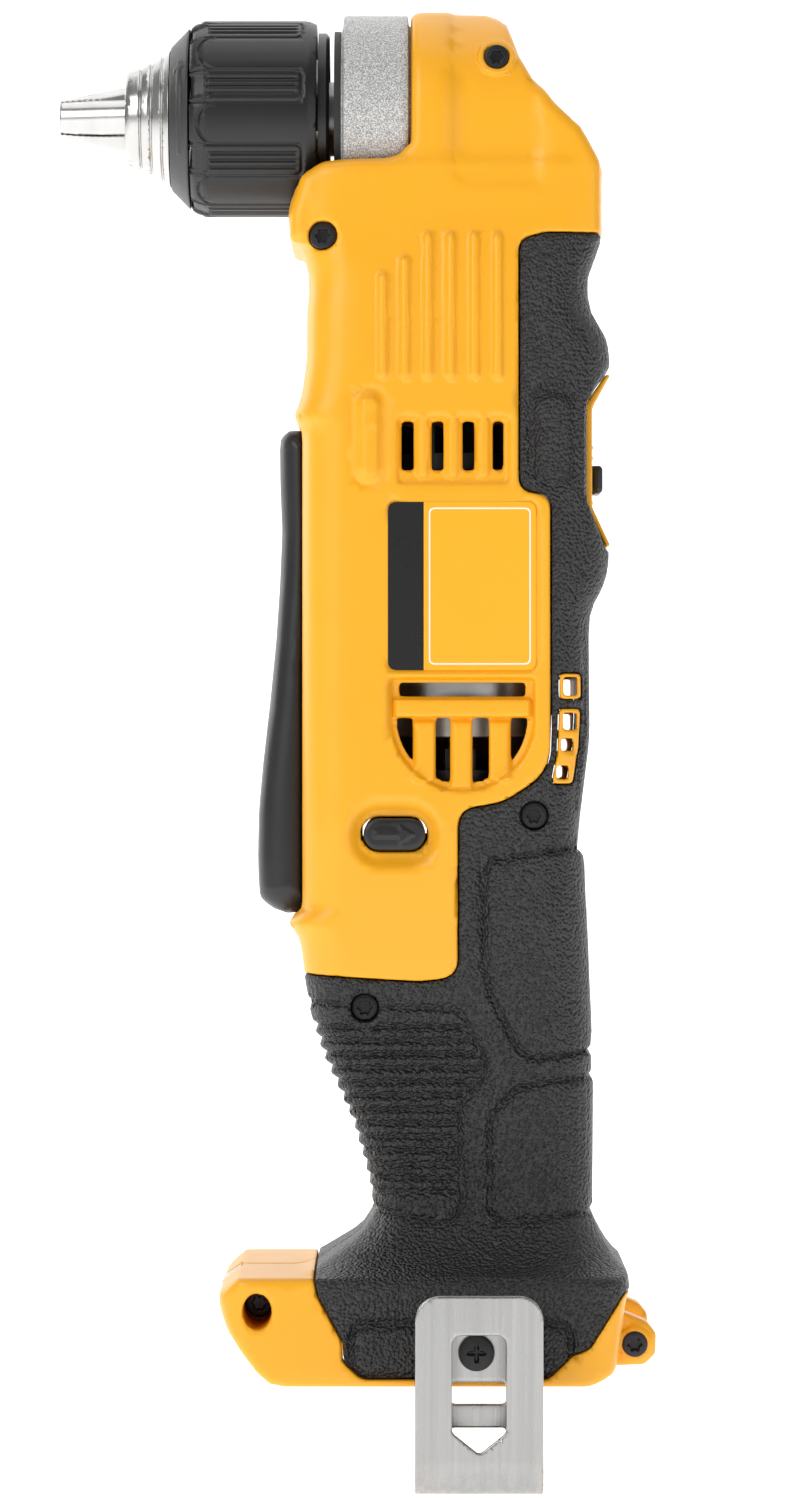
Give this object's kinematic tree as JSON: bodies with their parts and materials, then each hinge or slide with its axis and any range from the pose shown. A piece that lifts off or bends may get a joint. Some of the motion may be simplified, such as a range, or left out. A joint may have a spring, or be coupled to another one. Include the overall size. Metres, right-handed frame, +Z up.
{
  "type": "cordless drill",
  "caption": "Right-angle cordless drill with a keyless chuck, paddle trigger, bare battery foot and steel belt hook.",
  "frame": {"origin": "on the motor and handle axis, in the plane of the foot's flat underside, at the middle of the battery slide", "axes": "+Z up the handle and motor axis from the foot to the head; -X out of the chuck; -Y out of the tool's left side, which carries the belt hook"},
  "size_m": [0.1198, 0.078, 0.295],
  "materials": {
    "yellow_housing": "moulded glass-filled nylon, fine texture",
    "black_plastic": "satin glass-filled nylon",
    "grip_rubber": "pebbled thermoplastic elastomer",
    "black_oxide_screw": "black oxide steel",
    "label_film": "printed film, no lettering",
    "clear_lens": "clear polycarbonate",
    "cast_aluminium": "fine cast surface",
    "bearing_steel": "ground",
    "bronze": "sintered",
    "gear_steel": "machined",
    "bare_steel": "turned",
    "zinc_plate": "zinc plated",
    "magnet_ferrite": "sintered, dark grey",
    "copper": "lacquered copper",
    "chuck_steel": "turned steel, satin",
    "chuck_black": "satin black sleeve",
    "brushed_steel": "brushed lengthways",
    "brass": "knurled insert"
  },
  "bodies": {
    "root": {"left_housing": "yellow_housing", "right_housing": "yellow_housing", "left_grip_overmould": "grip_rubber", "right_grip_overmould": "grip_rubber", "housing_screws": "black_oxide_screw", "side_labels": "label_film", "selector_bezel": "yellow_housing", "led_lens": "clear_lens", "gear_case": "cast_aluminium", "front_seal_ring": "grip_rubber", "front_bearing_outer_race": "bearing_steel", "rear_spindle_bush": "bronze", "carrier_bush": "bronze", "ring_gear": "gear_steel", "motor_can": "zinc_plate", "motor_magnets": "magnet_ferrite", "motor_bushes": "bronze", "brush_end_bell": "black_plastic", "carbon_brushes": "magnet_ferrite", "trigger_pivot_pin": "bare_steel", "trigger_spring": "bare_steel", "switch_body": "black_plastic", "control_module": "black_plastic", "internal_wires": "copper", "terminal_block": "black_plastic", "contact_blades": "copper", "belt_hook": "brushed_steel", "belt_hook_screw": "black_oxide_screw", "hook_inserts": "brass"},
    "spindle": {"output_spindle": "bare_steel", "front_bearing_inner_race": "bearing_steel", "front_bearing_balls": "bearing_steel", "bevel_gear": "gear_steel", "chuck_body": "chuck_steel", "chuck_rear_ring": "chuck_steel", "chuck_screw": "black_oxide_screw"},
    "sleeve": {"chuck_sleeve": "chuck_black", "chuck_front_cap": "chuck_black", "jaw_nut": "chuck_steel"},
    "jaw_1": {"jaw_1": "chuck_steel"},
    "jaw_2": {"jaw_2": "chuck_steel"},
    "jaw_3": {"jaw_3": "chuck_steel"},
    "carrier": {"planet_carrier": "gear_steel", "bevel_pinion": "gear_steel"},
    "planet_1": {"planet_1": "gear_steel"},
    "planet_2": {"planet_2": "gear_steel"},
    "planet_3": {"planet_3": "gear_steel"},
    "armature": {"armature_shaft": "gear_steel", "armature_core": "bare_steel", "armature_windings": "copper", "commutator": "copper", "cooling_fan": "black_plastic"},
    "trigger": {"paddle_trigger": "black_plastic"},
    "plunger": {"switch_plunger": "black_plastic"},
    "direction": {"direction_button": "black_plastic"},
    "selector": {"selector_button": "black_plastic", "shift_fork": "bare_steel"}
  },
  "joints": [
    {"name": "spindle_turn", "type": "hinge", "parent": "root", "child": "spindle", "pos_m": [0, 0, 0.253], "axis": [1, 0, 0], "continuous": true},
    {"name": "sleeve_turn", "type": "hinge", "parent": "spindle", "child": "sleeve", "pos_m": [-0.043, 0, 0.253], "axis": [1, 0, 0], "range_deg": [0, 2860]},
    {"name": "jaw_1_slide", "type": "slide", "parent": "spindle", "child": "jaw_1", "axis": [0.9703, 0.121, 0.2095], "range_m": [0, 0.0199]},
    {"name": "jaw_2_slide", "type": "slide", "parent": "spindle", "child": "jaw_2", "axis": [0.9703, -0.2419, 0], "range_m": [0, 0.0199]},
    {"name": "jaw_3_slide", "type": "slide", "parent": "spindle", "child": "jaw_3", "axis": [0.9703, 0.121, -0.2095], "range_m": [0, 0.0199]},
    {"name": "carrier_turn", "type": "hinge", "parent": "root", "child": "carrier", "pos_m": [0, 0, 0.214], "axis": [0, 0, 1], "continuous": true},
    {"name": "planet_1_turn", "type": "hinge", "parent": "carrier", "child": "planet_1", "pos_m": [0.0045, 0.00779, 0.206], "axis": [0, 0, 1], "continuous": true},
    {"name": "planet_2_turn", "type": "hinge", "parent": "carrier", "child": "planet_2", "pos_m": [-0.009, 0, 0.206], "axis": [0, 0, 1], "continuous": true},
    {"name": "planet_3_turn", "type": "hinge", "parent": "carrier", "child": "planet_3", "pos_m": [0.0045, -0.00779, 0.206], "axis": [0, 0, 1], "continuous": true},
    {"name": "armature_turn", "type": "hinge", "parent": "root", "child": "armature", "pos_m": [0, 0, 0.15], "axis": [0, 0, 1], "continuous": true},
    {"name": "trigger_pull", "type": "hinge", "parent": "root", "child": "trigger", "pos_m": [-0.027, 0, 0.184], "axis": [0, -1, 0], "range_deg": [0, 5.5]},
    {"name": "plunger_slide", "type": "slide", "parent": "root", "child": "plunger", "axis": [1, 0, 0], "range_m": [0, 0.0083]},
    {"name": "direction_slide", "type": "slide", "parent": "root", "child": "direction", "axis": [0, 1, 0], "range_m": [-0.0035, 0.0035]},
    {"name": "selector_slide", "type": "slide", "parent": "root", "child": "selector", "axis": [0, 0, 1], "range_m": [-0.0025, 0.0025]}
  ],
  "couplings": [
    {"joint": "jaw_1_slide", "follows": "sleeve_turn", "m_per_rad": 0.00039789},
    {"joint": "jaw_2_slide", "follows": "sleeve_turn", "m_per_rad": 0.00039789},
    {"joint": "jaw_3_slide", "follows": "sleeve_turn", "m_per_rad": 0.00039789},
    {"joint": "carrier_turn", "follows": "spindle_turn", "ratio": -2},
    {"joint": "armature_turn", "follows": "spindle_turn", "ratio": -8},
    {"joint": "planet_1_turn", "follows": "spindle_turn", "ratio": 6},
    {"joint": "planet_2_turn", "follows": "spindle_turn", "ratio": 6},
    {"joint": "planet_3_turn", "follows": "spindle_turn", "ratio": 6},
    {"joint": "plunger_slide", "follows": "trigger_pull", "m_per_rad": 0.0862}
  ]
}
